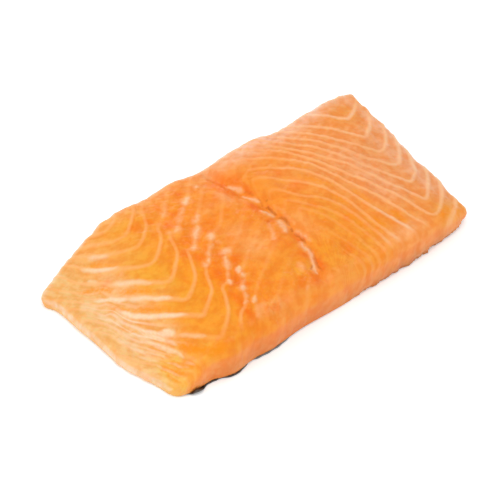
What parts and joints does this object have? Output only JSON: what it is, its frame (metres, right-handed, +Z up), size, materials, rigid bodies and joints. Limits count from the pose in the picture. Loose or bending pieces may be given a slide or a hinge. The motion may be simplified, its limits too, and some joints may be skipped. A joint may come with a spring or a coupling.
{
  "type": "salmon fillet portion",
  "caption": "Raw salmon fillet portion with its skin on, lying skin side down, cut square across the side.",
  "frame": {"origin": "middle of the footprint, on the surface that the fillet rests on", "axes": "+X across the fish from the back to the belly, +Y along the fish, +Z up, out of the flesh side"},
  "size_m": [0.1534, 0.0828, 0.0173],
  "materials": {
    "flesh": "satin",
    "skin": "satin"
  },
  "bodies": {
    "root": {"flesh": "flesh", "skin": "skin"}
  },
  "joints": []
}
